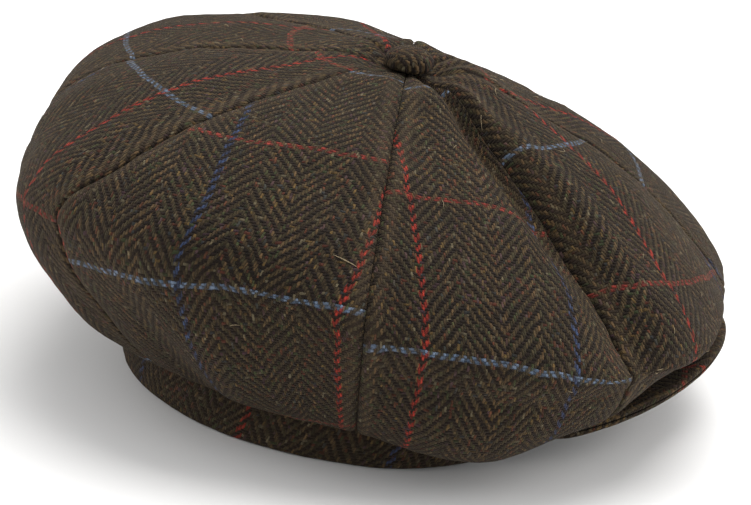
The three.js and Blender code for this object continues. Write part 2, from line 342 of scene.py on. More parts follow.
def shell(name, outer, inner, uv):
    """A closed sheet from a grid of outer points and a grid of inner ones, both [rows, columns, 3]."""
    rows, cols = outer.shape[:2]
    faces = []

    def at(i, j, side):
        return (side * rows + i) * cols + j

    for i in range(rows - 1):
        for j in range(cols - 1):
            faces.append((at(i, j, 0), at(i + 1, j, 0), at(i + 1, j + 1, 0), at(i, j + 1, 0)))
            faces.append((at(i, j, 1), at(i, j + 1, 1), at(i + 1, j + 1, 1), at(i + 1, j, 1)))
        for j, order in ((0, 1), (cols - 1, -1)):
            rim = (at(i, j, 0), at(i, j, 1), at(i + 1, j, 1), at(i + 1, j, 0))
            faces.append(rim[::order])
    for i, order in ((0, -1), (rows - 1, 1)):
        for j in range(cols - 1):
            rim = (at(i, j, 0), at(i, j, 1), at(i, j + 1, 1), at(i, j + 1, 0))
            faces.append(rim[::order])
    p = np.concatenate([outer.reshape(-1, 3), inner.reshape(-1, 3)])
    a, b, c, d = (p[list(corner)] for corner in zip(*faces))
    if np.sum(a * (np.cross(b, c) + np.cross(c, d))) < 0:
        faces = [f[::-1] for f in faces]
    obj = add_object(name, p, faces)
    set_uv(obj, np.concatenate([uv.reshape(-1, 2)] * 2))
    return obj


def outward_faces(obj):
    """Turns the faces out, if they face in."""
    work = bmesh.new()
    work.from_mesh(obj.data)
    bmesh.ops.recalc_face_normals(work, faces=work.faces)
    if work.calc_volume(signed=True) < 0:
        bmesh.ops.reverse_faces(work, faces=work.faces)
    work.to_mesh(obj.data)
    work.free()


def paint(obj, material):
    obj.data.materials.clear()
    obj.data.materials.append(material)


def fit(obj, material, node=None, body="cap"):
    """Paints a piece that rides on a body, and hides the CAD node it replaces, if it does."""
    paint(obj, material)
    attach(obj, body)
    if node:
        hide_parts(node)
    return obj


# ----- materials
class Graph:
    """A node material, with short calls for its nodes."""

    def __init__(self, name):
        self.material = bpy.data.materials.new(name)
        self.material.use_nodes = True
        self.tree = self.material.node_tree
        self.tree.nodes.clear()

    def node(self, kind, inputs=(), **settings):
        made = self.tree.nodes.new(kind)
        for key, value in settings.items():
            setattr(made, key, value)
        for key, value in dict(inputs).items():
            self.feed(made.inputs[key], value)
        return made

    def feed(self, socket, value):
        if isinstance(value, bpy.types.NodeSocket):
            self.tree.links.new(value, socket)
        elif value is not None:
            socket.default_value = value

    def math(self, operation, a, b=None, c=None, clamp=False):
        made = self.node("ShaderNodeMath", {0: a, 1: b, 2: c}, operation=operation, use_clamp=clamp)
        return made.outputs[0]

    def times(self, a, b):
        return self.math("MULTIPLY", a, b)

    def plus(self, a, b):
        return self.math("ADD", a, b)

    def scaled(self, a, by, then_plus):
        return self.math("MULTIPLY_ADD", a, by, then_plus)

    def vector(self, x, y, z=0.0):
        return self.node("ShaderNodeCombineXYZ", {0: x, 1: y, 2: z}).outputs[0]

    def mix(self, factor, a, b, kind="MIX"):
        made = self.node("ShaderNodeMix", {0: factor, 6: a, 7: b}, data_type="RGBA", blend_type=kind)
        return made.outputs[2]

    def blend(self, factor, a, b):
        """A number between a and b."""
        return self.node("ShaderNodeMix", {0: factor, 2: a, 3: b}, data_type="FLOAT").outputs[0]

    def noise(self, where, scale, detail=2.0, rough=0.5):
        inputs = {"Vector": where, "Scale": scale, "Detail": detail, "Roughness": rough}
        return self.node("ShaderNodeTexNoise", inputs).outputs[0]

    def white(self, x, y, z=0.0):
        made = self.node("ShaderNodeTexWhiteNoise", {0: self.vector(x, y, z)}, noise_dimensions="3D")
        return made.outputs[0], made.outputs[1]

    def ramp(self, factor, stops, kind="LINEAR"):
        """A ramp of linear colours, from (place, red, green, blue) for each."""
        made = self.node("ShaderNodeValToRGB", {0: factor})
        ramp = made.color_ramp
        ramp.interpolation = kind
        while len(ramp.elements) < len(stops):
            ramp.elements.new(0.5)
        for element, (at, *colour) in zip(ramp.elements, stops):
            element.position = at
            element.color = (*colour, 1)
        return made.outputs[0]

    def greys(self, factor, *stops):
        """A ramp of greys from (place, tone) pairs."""
        return self.ramp(factor, [(at, tone, tone, tone) for at, tone in stops])

    def colours(self, factor, stops, kind="LINEAR"):
        """A ramp of sRGB colours, from (place, red, green, blue) for each."""
        return self.ramp(factor, [(at, *srgb(*rgb)) for at, *rgb in stops], kind)

    def on_cloth(self):
        """The place on the flat cloth in mm, whole, and then its parts."""
        uv = self.node("ShaderNodeUVMap", uv_map="cloth").outputs[0]
        metres = self.node("ShaderNodeVectorMath", {0: uv, 1: (1000, 1000, 1000)}, operation="MULTIPLY")
        place = metres.outputs[0]
        return place, self.node("ShaderNodeSeparateXYZ", {0: place}).outputs

    def in_object(self):
        return self.node("ShaderNodeTexCoord").outputs["Object"]

    def finish(self, colour, roughness, height=None, depth=0.0003, strength=1.0, **constants):
        shader = self.node("ShaderNodeBsdfPrincipled", {"Base Color": colour, "Roughness": roughness})
        for key, value in constants.items():
            shader.inputs[key.replace("_", " ")].default_value = value
        if height is not None:
            bump = self.node("ShaderNodeBump", {"Height": height, "Distance": depth, "Strength": strength})
            self.feed(shader.inputs["Normal"], bump.outputs[0])
        self.node("ShaderNodeOutputMaterial", {0: shader.outputs[0]})
        return self.material


def srgb(*rgb):
    """Linear values of an sRGB colour."""
    return tuple(c / 12.92 if c <= 0.04045 else ((c + 0.055) / 1.055) ** 2.4 for c in rgb)


WARP_END = 0.86  # width of one warp end, in mm
WEFT_PICK = 1.14
COLUMN_ENDS = 16  # warp ends in one column of the herringbone
WARP_CHECK_PERIOD = 108.0  # from one red warp check to the next, with a blue one midway
WEFT_CHECK_PERIOD = 128.0
CHECK_WIDTH = 2.3


def tweed_material():
    """Herringbone tweed in 2/2 twill with an overcheck, drawn yarn by yarn in the cloth's own UV."""
    g = Graph("tweed")
    place, parts = g.on_cloth()

    def scatter(scale, detail):
        noise_at = g.node("ShaderNodeTexNoise", {"Vector": place, "Scale": scale, "Detail": detail})
        return g.node("ShaderNodeSeparateXYZ", {0: noise_at.outputs[1]}).outputs

    def wander(value, broad, small):
        broad = g.scaled(broad, 3.0, value)
        return g.plus(g.scaled(small, 0.6, broad), -1.8)

    d, f = scatter(0.11, 3.0), scatter(1.5, 2.0)
    u = wander(parts[0], d[0], f[0])
    v = wander(parts[1], d[1], f[1])
    ends = g.math("DIVIDE", u, WARP_END)
    picks = g.math("DIVIDE", v, WEFT_PICK)
    end, pick = g.math("FLOOR", ends), g.math("FLOOR", picks)
    in_end, in_pick = g.math("FRACT", ends), g.math("FRACT", picks)
    column = g.math("FLOOR", g.math("DIVIDE", end, COLUMN_ENDS))
    odd = g.math("FLOORED_MODULO", column, 2.0)
    hand = g.scaled(odd, -2.0, 1.0)
    lift = g.plus(g.scaled(end, hand, pick), g.times(odd, 2.0))
    phase = g.math("FLOORED_MODULO", lift, 4.0)
    warp_up = g.math("LESS_THAN", phase, 1.5)
    slide = g.plus(g.scaled(ends, hand, picks), g.times(odd, 2.0))
    slide = g.scaled(hand, -0.5, g.plus(slide, -1.0))
    wave = g.scaled(g.math("COSINE", g.times(slide, math.pi / 2)), 0.5, 0.5)
    line = g.greys(wave, (0.34, 0), (0.72, 1))

    # the rounding of each float of yarn, across it and along it
    def hump(x):
        centred = g.scaled(x, 2.0, -1.0)
        return g.math("SUBTRACT", 1.0, g.times(centred, centred))

    def half(x):
        return g.times(x, 0.5)

    warp_float = hump(half(g.plus(phase, in_pick)))
    forward = g.plus(g.plus(phase, -2.0), in_end)
    reverse = g.math("SUBTRACT", g.plus(phase, -1.0), in_end)
    weft_float = hump(half(g.blend(odd, forward, reverse)))
    across = g.blend(warp_up, hump(in_pick), hump(in_end))
    along = g.blend(warp_up, weft_float, warp_float)
    yarn = g.math("MULTIPLY", g.math("POWER", g.math("MAXIMUM", across, 0.0), 0.7),
                  g.scaled(along, 0.5, 0.5), clamp=True)

    # heather: each yarn has its own shade, which changes along it, and flecks of other wools
    warp_shade = g.white(end, 3.7)[0]
    weft_shade = g.white(5.3, pick)[0]
    long_warp = g.noise(g.vector(g.times(end, 7.31), g.times(v, 0.1)), 1.0)
    long_weft = g.noise(g.vector(g.times(u, 0.1), g.times(pick, 5.17)), 1.0)
    warp = g.colours(g.blend(0.55, warp_shade, long_warp), (
        (0.0, 0.15, 0.122, 0.086), (0.3, 0.228, 0.186, 0.132),
        (0.5, 0.19, 0.18, 0.122), (0.7, 0.3, 0.236, 0.156),
        (1.0, 0.405, 0.31, 0.208)))
    weft = g.colours(g.blend(0.55, weft_shade, long_weft), (
        (0.0, 0.035, 0.026, 0.026), (0.35, 0.07, 0.045, 0.042),
        (0.55, 0.05, 0.04, 0.046), (0.75, 0.095, 0.056, 0.046),
        (1.0, 0.12, 0.078, 0.058)))
    fleck_x = g.blend(warp_up, g.math("FLOOR", half(end)), end)
    fleck_y = g.blend(warp_up, pick, g.math("FLOOR", half(pick)))
    chance, draw = g.white(fleck_x, fleck_y, 1.0)
    hue = g.node("ShaderNodeSeparateColor", {0: draw}).outputs[1]
    wool = g.colours(hue, (
        (0.0, 0.34, 0.17, 0.12), (0.24, 0.2, 0.25, 0.15), (0.44, 0.38, 0.3, 0.16),
        (0.58, 0.25, 0.17, 0.21), (0.76, 0.4, 0.37, 0.29), (0.88, 0.17, 0.2, 0.21)),
        "CONSTANT")
    flecked = g.math("GREATER_THAN", chance, 0.84)

    # overcheck
    def check(value, period, shift):
        where = g.math("FLOORED_MODULO", g.plus(value, shift + CHECK_WIDTH / 2), period)
        return g.math("LESS_THAN", where, CHECK_WIDTH)

    shade = g.white(end, pick, 9.0)[0]
    red = g.colours(shade, ((0, 0.4, 0.1, 0.09), (1, 0.6, 0.17, 0.13)))
    navy = g.colours(shade, ((0, 0.1, 0.14, 0.23), (1, 0.18, 0.25, 0.38)))
    dull_red = g.colours(shade, ((0, 0.34, 0.11, 0.1), (1, 0.5, 0.18, 0.15)))
    steel = g.colours(shade, ((0, 0.22, 0.29, 0.37), (1, 0.42, 0.48, 0.56)))
    warp = g.mix(g.times(flecked, 0.6), warp, wool)
    weft = g.mix(g.times(flecked, 0.45), weft, wool)
    for shift, yarn_colour in ((0, red), (WARP_CHECK_PERIOD / 2, navy)):
        inside = check(u, WARP_CHECK_PERIOD, shift)
        warp = g.mix(g.times(inside, 0.92), warp, yarn_colour)
    for shift, yarn_colour in ((0, dull_red), (WEFT_CHECK_PERIOD / 2, steel)):
        inside = check(v, WEFT_CHECK_PERIOD, shift)
        weft = g.mix(g.times(inside, 0.88), weft, yarn_colour)
        warp = g.mix(g.times(inside, 0.08), warp, yarn_colour)
    cell = g.scaled(g.white(end, pick, 4.0)[0], 0.85, 0.46)
    colour = g.mix(g.blend(0.5, warp_up, line), weft, warp)
    colour = g.mix(1.0, colour, g.vector(cell, cell, cell), "MULTIPLY")

    # painted shade between the yarns with a slight painted highlight on their crowns, loose fibre over them,
    # and cloth paler where worn at folded edges; on the band the paler tone is painted light
    # painted shade in the gaps between the yarns, a slight painted highlight on their crowns
    colour = g.mix(1.0, colour, g.greys(yarn, (0, 0.42), (0.6, 1.0), (1, 1.12)), "MULTIPLY")
    hair = g.noise(g.vector(g.times(u, 3.0), g.times(v, 1.9)), 1.0, 4.0, 0.75)
    strand = g.greys(hair, (0.25, 0.45), (0.5, 0.95), (0.8, 1.75))
    colour = g.mix(1.0, colour, strand, "MULTIPLY")
    fuzz = g.greys(hair, (0.45, 0), (0.78, 1))
    colour = g.mix(g.times(fuzz, 0.22), colour, (*srgb(0.34, 0.28, 0.21), 1))
    wear_and_painted_light = g.node("ShaderNodeAttribute", attribute_name="wear_and_painted_light").outputs["Fac"]
    # paler where worn at seam ridges and folded edges; all round the band it is painted light that lifts the
    # shade under the crown's overhang
    colour = g.mix(g.times(wear_and_painted_light, 0.16), colour, (*srgb(0.38, 0.32, 0.25), 1))
    patch = g.noise(place, 0.028, 3.0)
    colour = g.mix(0.5, colour, g.greys(patch, (0.3, 0.72), (0.7, 1.2)), "MULTIPLY")
    roughness = g.scaled(hair, 0.12, g.scaled(yarn, -0.06, 0.88))
    height = g.scaled(hair, 0.5, yarn)
    return g.finish(colour, roughness, height, depth=0.00055, strength=0.9, Sheen_Weight=0.1,
                    Sheen_Roughness=0.45, Sheen_Tint=(0.62, 0.48, 0.36, 1), Specular_IOR_Level=0.12)


def satin_material():
    g = Graph("satin_lining")
    place, parts = g.on_cloth()
    twill = g.math("SINE", g.times(g.plus(parts[0], parts[1]), 6.0))
    slub = g.noise(g.vector(g.times(parts[0], 0.35), g.times(parts[1], 3.0)), 1.0, 3.0)
    crumple = g.noise(place, 0.06, 4.0, 0.6)
    colour = g.colours(slub, ((0.3, 0.2, 0.185, 0.165), (0.7, 0.27, 0.25, 0.22)))
    # painted shade in the crumples' hollows and a painted sheen on their ridges
    colour = g.mix(0.6, colour, g.greys(crumple, (0.3, 0.75), (0.7, 1.2)), "MULTIPLY")
    roughness = g.scaled(slub, 0.22, 0.3)
    height = g.scaled(twill, 0.08, g.times(crumple, 2.4))
    return g.finish(colour, roughness, height, depth=0.0006, strength=0.6, Sheen_Weight=0.15,
                    Specular_IOR_Level=0.45)


def leather_material():
    g = Graph("sweatband_leather")
    place = g.in_object()
    grain = g.node("ShaderNodeTexVoronoi", {"Vector": place, "Scale": 900.0}, feature="DISTANCE_TO_EDGE")
    pebble = g.math("MINIMUM", g.times(grain.outputs[0], 3.0), 1.0)
    tone = g.noise(place, 60.0, 4.0, 0.6)
    colour = g.colours(tone, ((0.25, 0.2, 0.13, 0.09), (0.75, 0.33, 0.22, 0.15)))
    colour = g.mix(1.0, colour, g.greys(pebble, (0, 0.6), (0.5, 1)), "MULTIPLY")
    roughness = g.scaled(tone, 0.25, 0.36)
    height = g.plus(pebble, g.noise(place, 250.0, 3.0))
    return g.finish(colour, roughness, height, depth=0.0002, strength=0.7, Specular_IOR_Level=0.4)


def fibre_material(name, dark, light, scale, stretch, roughness, depth):
    """Thread, board and stiffening: fibres drawn out along Z or round the cap."""
    g = Graph(name)
    place = g.in_object()
    drawn = g.node("ShaderNodeMapping", {"Vector": place, "Scale": stretch}).outputs[0]
    strands = g.noise(drawn, scale, 4.0, 0.65)
    broad = g.noise(place, scale * 0.05, 2.0)
    colour = g.colours(strands, ((0.3, *dark), (0.7, *light)))
    colour = g.mix(0.5, colour, g.greys(broad, (0.3, 0.8), (0.7, 1.15)), "MULTIPLY")
    surface = g.scaled(strands, 0.2, roughness)
    return g.finish(colour, surface, strands, depth=depth, strength=0.8)


def metal_material():
    g = Graph("tinned_steel")
    place = g.in_object()
    drawn = g.node("ShaderNodeMapping", {"Vector": place, "Scale": (1, 1, 12)}).outputs[0]
    brushed = g.noise(drawn, 700.0, 3.0, 0.6)
    stain = g.noise(place, 160.0, 4.0, 0.6)
    colour = g.colours(stain, ((0.3, 0.52, 0.49, 0.44), (0.7, 0.7, 0.68, 0.63)))
    roughness = g.scaled(brushed, 0.22, g.scaled(stain, 0.15, 0.18))
    return g.finish(colour, roughness, brushed, depth=0.00008, strength=0.5, Metallic=1.0)


TWEED = tweed_material()
SATIN = satin_material()
LEATHER = leather_material()
METAL = metal_material()
THREAD = fibre_material("thread", (0.11, 0.085, 0.07), (0.22, 0.18, 0.14), 900.0, (1, 1, 0.3),
                        0.7, 0.0002)
STITCHING = fibre_material("stitching", (0.3, 0.24, 0.17), (0.46, 0.38, 0.28), 1400.0, (1, 1, 1),
                           0.65, 0.0001)
STRAY = fibre_material("stray_fibre", (0.42, 0.37, 0.28), (0.62, 0.55, 0.43), 900.0, (1, 1, 1),
                       0.7, 0.0001)
STIFFENER = fibre_material("interlining", (0.3, 0.27, 0.22), (0.42, 0.38, 0.32), 500.0, (1, 1, 0.25),
                           0.75, 0.0002)
BOARD = fibre_material("peak_board", (0.1, 0.095, 0.09), (0.17, 0.16, 0.15), 300.0, (1, 0.3, 1),
                       0.5, 0.0002)

# ----- crown and lining
# How the cloth lies in each panel: the turn of its warp and of its weft in degrees, the bow of its weft
# in 1/mm, and where a red warp check and a red weft check fall, in mm from the panel's middle line and
# from the button.
CUTS = {
    "right_rear": (13, 12, 0, 13, 81), "right_front": (-6.5, 0, 0.0031, -15.5, 83),
    "front_right": (-20, -16, 0, 28, 123), "rear_right": (12, 10, 0.0022, -9, 155),
    "left_rear": (-9, -7, 0, 5, 96), "left_front": (6, 3, 0.001, 22, 70),
    "front_left": (12, 10, 0, -20, 152), "rear_left": (20, 20, 0, -30, 170.5),
}
GRAIN_TURNS_TO = 110  # the warp follows its turn down to here, in mm from the button
GRAIN_EASES_OVER = 40
TAPER_SHARE = 0.85  # how far the warp closes up with the panel where it narrows to the band

ROWS_ACROSS = 46
ROWS_ALONG = 104
LINING_GAP = 0.6  # between the crown's cloth and its lining
LINING_THICK = 0.8
LINING_PUCKER = 0.5  # how much thinner the lining is along its seams
LINING_TURN = 1.6  # the lining's seams lie this many degrees beside the crown's
BAND_CLEAR = 2.2  # from the opening's line to the inner side of any cloth that hangs beside the band
SEAM_DEPTH = 1.35
SEAM_WIDTH = 0.75
LINING_ROWS_ACROSS = 25
RIM = 0.05  # how much of t the shoulder's edge takes up
RIM_THINS = 0.45  # the share by which the cloth is thinner there
RIM_ROOM = 2.6  # how much deeper the lining lies there


def panel_grid(number, across_count, along_count, turn=0.0):
    x = np.linspace(0, 1, across_count)
    share = 0.45 * x + 0.55 * (0.5 - 0.5 * np.cos(math.pi * x))
    first = number * PANEL_ANGLE + turn
    start = eye_edge(first + PANEL_ANGLE * share)[:, None]
    j = np.linspace(0, 1, along_count)[None, :]
    t = start + (1 - start) * j ** 1.12
    angle = first + PANEL_ANGLE * share[:, None] + 0 * t
    radius = crown_radius(angle, t)
    seam = np.degrees(0.06 / radius)
    angle = first + seam + (PANEL_ANGLE - 2 * seam) * share[:, None]
    return angle, t, radius, share[:, None] + 0 * t


def cloth_uv(points, cut):
    """Where each point of a panel lies on the flat cloth, in mm: across from the panel's middle line and
    down from the button, turned with the grain and set off so that the checks fall where cut says."""
    steps = np.linalg.norm(np.diff(points, axis=0), axis=-1)
    u = np.concatenate([np.zeros((1, points.shape[1])), np.cumsum(steps, axis=0)])
    middle_row = points.shape[0] // 2
    u = u - u[middle_row]
    down = np.linalg.norm(np.diff(points[middle_row], axis=0), axis=-1)
    v = np.concatenate([[0], np.cumsum(down)])[None, :] + 0 * u
    width = u[-1] - u[0]
    widest = int(np.argmax(width))
    taper = np.ones_like(width)
    taper[widest:] = (width[widest] / width[widest:]) ** TAPER_SHARE
    u = u * taper[None, :]
    past = np.maximum(0, v - GRAIN_TURNS_TO)
    eased = np.minimum(v, GRAIN_TURNS_TO) + GRAIN_EASES_OVER * np.tanh(past / GRAIN_EASES_OVER)
    warp_turn, weft_turn, bow, warp_check, weft_check = cut
    warp_turn, weft_turn = math.radians(warp_turn), math.radians(weft_turn)
    across = u * math.cos(warp_turn) - eased * math.sin(warp_turn) - warp_check
    along = u * math.sin(weft_turn) + v * math.cos(weft_turn) - bow * u * u - weft_check
    return np.stack([across, along], axis=-1)


def soft_cloth(angle, t, radius):
    """The form, its normal, and the relief that the crown's cloth and its lining share."""
    form, normal = crown_form(angle, t), crown_normal(angle, t)
    return form, normal, soft_relief(angle, t, form) + gather(angle, radius)


def panel_edge(radius, share):
    """A panel's width, and how far each point lies from the nearer seam, in mm."""
    width = np.radians(PANEL_ANGLE) * radius
    return width, np.minimum(share, 1 - share) * width


def seamed_relief(angle, t, radius, share, form, soft):
    """Relief of the outer cloth, with the seams drawn in and the puckers beside them."""
    width, edge = panel_edge(radius, share)
    groove = np.minimum(SEAM_WIDTH, 0.1 * width + 0.1)
    depth = SEAM_DEPTH * (0.35 + 0.65 * step(12, 40, radius))
    depth = depth * (1 - 0.45 * bell(aside_from(angle, 200) / 50))  # the rear seams lie flatter
    near = bell(edge / 9.0) * step(0.03, 0.15, t)
    relief = soft - depth * bell(edge / groove) + 0.25 * bell((edge - 4.2) / 2.6) * near
    relief = relief + near * 0.6 * rough(form, 9.0, 3)
    return relief + 0.22 * rough(form, 5.0, 4) * step(0.02, 0.1, t)


def clear_of_band(points, angle, room):
    """Moves cloth that hangs below the band's top out to where it clears the band, and room further."""
    reach = np.hypot(points[..., 0], points[..., 1])
    hangs = points[..., 2] < band_top(angle) + 0.4
    push = np.maximum(0, opening_radius(angle) + BAND_CLEAR + room - reach) * hangs
    return points + outward(angle) * push[..., None]


def crown_panel(number, side):
    angle, t, radius, share = panel_grid(number, ROWS_ACROSS, ROWS_ALONG)
    form, normal, soft = soft_cloth(angle, t, radius)
    relief = seamed_relief(angle, t, radius, share, form, soft)
    plain = form + normal * soft[..., None]
    pull = drawn_to_stud(plain, t)
    rim = bell((t - SHOULDER_AT) / RIM)[..., None]
    outer = clear_of_band(form + normal * relief[..., None] + pull, angle, 0)
    inner = plain - inner_normal(angle, t) * CLOTH * (1 - RIM_THINS * rim) + pull
    panel = shell("crown_" + side, outer, clear_of_band(inner, angle, 0.3), cloth_uv(plain, CUTS[side]))
    ridge = bell((panel_edge(radius, share)[1] - 3.0) / 1.8) * step(0.04, 0.12, t)
    wear_and_painted_light = np.clip(ridge + bell((t - 0.7) / 0.1) * 0.35, 0, 1)
    set_value(panel, "wear_and_painted_light", np.concatenate([wear_and_painted_light.ravel(), 0 * wear_and_painted_light.ravel()]))
    return fit(panel, TWEED, "crown_panel_" + side)


def lining_panel(number, side):
    angle, t, radius, share = panel_grid(number, LINING_ROWS_ACROSS, ROWS_ALONG, LINING_TURN)
    form, normal, soft = soft_cloth(angle, t, radius)
    slack = form + normal * soft[..., None]
    slack = slack + drawn_to_stud(slack, t)
    depth = CLOTH + LINING_GAP + RIM_ROOM * bell((t - SHOULDER_AT) / RIM)
    thick = LINING_THICK - LINING_PUCKER * bell(panel_edge(radius, share)[1] / 1.5)
    smooth = inner_normal(angle, t)
    outer = clear_of_band(slack - smooth * depth[..., None], angle, 0.6)
    inner = clear_of_band(slack - smooth * (depth + thick)[..., None], angle, 1.0)
    lining = shell("lining_" + side, outer, inner, cloth_uv(outer, (0, 0, 0, 0, 0)))
    return fit(lining, SATIN, "lining_panel_" + side)


# The flat sizes of the cut panels, in metres: width, length and area
PANEL_CUT = {
    "front": (0.105, 0.205, 0.0127), "side": (0.108, 0.225, 0.0148), "rear": (0.11, 0.25, 0.0168),
}
for number, side in enumerate(PANELS):
    which = side.split("_")[0]
    width, length, area = PANEL_CUT.get(which, PANEL_CUT["side"])
    for piece, held in ((crown_panel(number, side), "draped"), (lining_panel(number, side), "gathered")):
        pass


# ----- bands round the opening
BAND_LEAN = 0.3  # the warp of the bands leans this much
BAND_CHECK = 8.0  # the first red check comes this far before a strip's end, in mm


def ring_piece(name, profile, from_angle, to_angle, count, wave):
    """A strip round the opening: profile(angle) gives its closed cross-section as [n, 2] of distance out
    from the opening's line and height, and wave its unevenness. A whole turn has no ends."""
    closed = to_angle - from_angle >= 360
    loops, uvs = [], []
    travelled = 0.0
    previous = None
    for angle in np.linspace(from_angle, to_angle, count, endpoint=not closed):
        section = profile(angle)
        here = outward(angle) * opening_radius(angle)
        ring = outward(angle)[None, :] * (opening_radius(angle) + section[:, :1])
        ring[:, 2] = section[:, 1]
        loops.append(ring + outward(angle)[None, :] * wave(ring)[:, None])
        if previous is not None:
            travelled += float(np.linalg.norm(here - previous))
        previous = here
        climb = np.concatenate([[0], np.cumsum(np.linalg.norm(np.diff(section, axis=0), axis=1))])
        uvs.append(np.stack([travelled + 0 * climb, climb], axis=-1))
    points = np.array(loops)
    rows, cols = points.shape[:2]
    faces = []
    for i in range(rows if closed else rows - 1):
        for j in range(cols):
            k, n = (j + 1) % cols, (i + 1) % rows
            faces.append((i * cols + j, n * cols + j, n * cols + k, i * cols + k))
    if not closed:
        faces.append(tuple(range(cols)))
        faces.append(tuple((rows - 1) * cols + j for j in reversed(range(cols))))
    obj = add_object(name, points.reshape(-1, 3), faces)
    flat = np.array(uvs).reshape(-1, 2)
    set_uv(obj, np.stack([flat[:, 0] - BAND_LEAN * flat[:, 1] + BAND_CHECK, flat[:, 1] + 40], axis=-1))
    outward_faces(obj)
    return obj


BAND_OUT, BAND_IN = 1.0, -1.2
HEM_IN = -2.65  # how far in the hem reaches, past the interlining
HEM_THICK = 0.8
HEM_ROUND = 1.1


def band_section(angle):
    """A strip of cloth whose lower edge turns in under the interlining, as far as the sweatband."""
    low, high = float(lower_edge(angle)), float(band_top(angle)) - 0.3
    turn = np.linspace(-math.pi / 2, 0, 6)
    round_out = BAND_OUT - HEM_ROUND + HEM_ROUND * np.cos(turn)
    round_edge = np.stack([round_out, low + HEM_ROUND + HEM_ROUND * np.sin(turn)], axis=-1)
    heights = np.linspace(low + HEM_ROUND, high, 12)[1:]
    belly = 0.55 * np.sin(math.pi * np.clip((heights - low) / (high - low), 0, 1))
    outer = np.stack([BAND_OUT + belly, heights], axis=-1)
    inner = np.stack([np.full(5, BAND_IN), np.linspace(high, low + HEM_THICK, 5)], axis=-1)
    fold = np.array([[HEM_IN + 0.15, low + HEM_THICK], [HEM_IN, low + HEM_THICK - 0.2], [HEM_IN, low + 0.2],
                     [HEM_IN + 0.2, low + 0.02]])
    return np.concatenate([round_edge, outer, inner, fold])


def band_wave(ring):
    """The band's soft unevenness, outside only."""
    return 0.35 * rough(ring, 16, 5) + 0.18 * rough(ring, 6, 6)


for name, start, end in (("left", 0.1, 179.9), ("right", 180.1, 359.9)):
    band = ring_piece("band_" + name, band_section, start, end, 150, band_wave)
    # the whole band is painted paler: painted light that lifts the shade under the crown's overhang, with
    # some rubbed wear
    set_value(band, "wear_and_painted_light", [0.5] * len(band.data.vertices))
    fit(band, TWEED, "hatband_" + name)


SWEATBAND_WIDTH = 29
SWEATBAND_NARROWS = 4  # how much narrower it is at the brow
SWEATBAND_LEAN = 1.1  # how far its upper edge leans in


def sweat_section(angle):
    low = float(lower_edge(angle)) + 1.0
    high = low - 1.0 + SWEATBAND_WIDTH - SWEATBAND_NARROWS * float(brow(angle))
    heights = np.linspace(low + 0.5, high - 0.4, 12)
    lean = SWEATBAND_LEAN * ((heights - low) / (high - low)) ** 2
    outer = np.stack([-2.8 - 0.15 * lean, heights], axis=-1)
    inner = np.stack([-4.0 - lean[::-1], heights[::-1]], axis=-1)
    foot = np.array([[-3.75, low + 0.1], [-3.4, low], [-3.05, low + 0.1]])
    crest = np.array([[-3.1, high - 0.1], [-3.7, high], [-4.6, high - 0.1]])
    return np.concatenate([foot, outer, crest, inner])


def sweat_wave(ring):
    """The leather's unevenness, above its stitching only."""
    return -np.abs(0.5 * rough(ring, 30, 7)) * (ring[:, 2] > 12)


sweatband = ring_piece("sweatband_leather", sweat_section, 180, 540, 240, sweat_wave)
fit(sweatband, LEATHER, "sweatband")


def tube(path, radius, sides=6):
    """Points and faces of one closed stitch or fibre along a path in mm, rounded off at both ends."""
    path = np.asarray(path, float)
    points, faces = [path[0]], []
    rings = len(path) - 2
    for i in range(1, rings + 1):
        axis = path[i + 1] - path[i - 1]
        aside = np.cross(axis, (0.3, 0.5, 0.8))
        aside = aside / np.linalg.norm(aside)
        other = np.cross(axis / np.linalg.norm(axis), aside)
        swell = radius * math.sin(math.pi * i / (rings + 1)) ** 0.5
        for k in range(sides):
            a = 2 * math.pi * k / sides
            points.append(path[i] + swell * (aside * math.cos(a) + other * math.sin(a)))
    points.append(path[-1])
    last = 1 + (rings - 1) * sides
    for k in range(sides):
        n = (k + 1) % sides
        faces.append((0, 1 + n, 1 + k))
        faces.append((last + k, last + n, len(points) - 1))
        for i in range(rings - 1):
            a, b = 1 + i * sides, 1 + (i + 1) * sides
            faces.append((a + k, a + n, b + n, b + k))
    return points, faces


def join_parts(name, parts):
    points, faces = [], []
    for part_points, part_faces in parts:
        base = len(points)
        points += list(part_points)
        faces += [tuple(base + i for i in f) for f in part_faces]
    obj = add_object(name, np.array(points), faces)
    outward_faces(obj)
    return obj


def band_point(angle, offset, height):
    return outward(angle) * (opening_radius(angle) + offset) + np.array([0, 0, height])


STITCHES_ROUND = 150
stitches = []
for height in (3.2, 6.4):
    for i in range(STITCHES_ROUND):
        angle = 360 * i / STITCHES_ROUND
        inner = -4.12 - SWEATBAND_LEAN * (height / SWEATBAND_WIDTH) ** 2
        low = float(lower_edge(angle))
        ends = [band_point(angle + off, inner, low + height) for off in (-0.75, 0.75)]
        stitches.append(tube(np.linspace(*ends, 6), 0.32))
fit(join_parts("sweatband_stitching", stitches), STITCHING)

# ----- stray fibres on the crown
FIBRES = 55
FIBRE_RADIUS = 0.11
CLOTH_RUN = 190  # along the crown from t = 0 to 1, in mm
draw = random.Random(4)


def fibre_path(angle, t, run_angle, run_t, bend):
    """A fibre that lies on the cloth and lifts off it in the middle."""
    s = np.linspace(0, 1, 8)
    angle = angle + run_angle * s + bend * run_t * 90 * s * (1 - s)
    t = t + run_t * s - bend * run_angle / 90 * s * (1 - s)
    radius = crown_radius(angle, t)
    form, normal, soft = soft_cloth(angle, t, radius)
    relief = seamed_relief(angle, t, radius, (angle % PANEL_ANGLE) / PANEL_ANGLE, form, soft)
    return form + normal * (relief - 0.12 + 0.45 * np.sin(math.pi * s))[..., None]


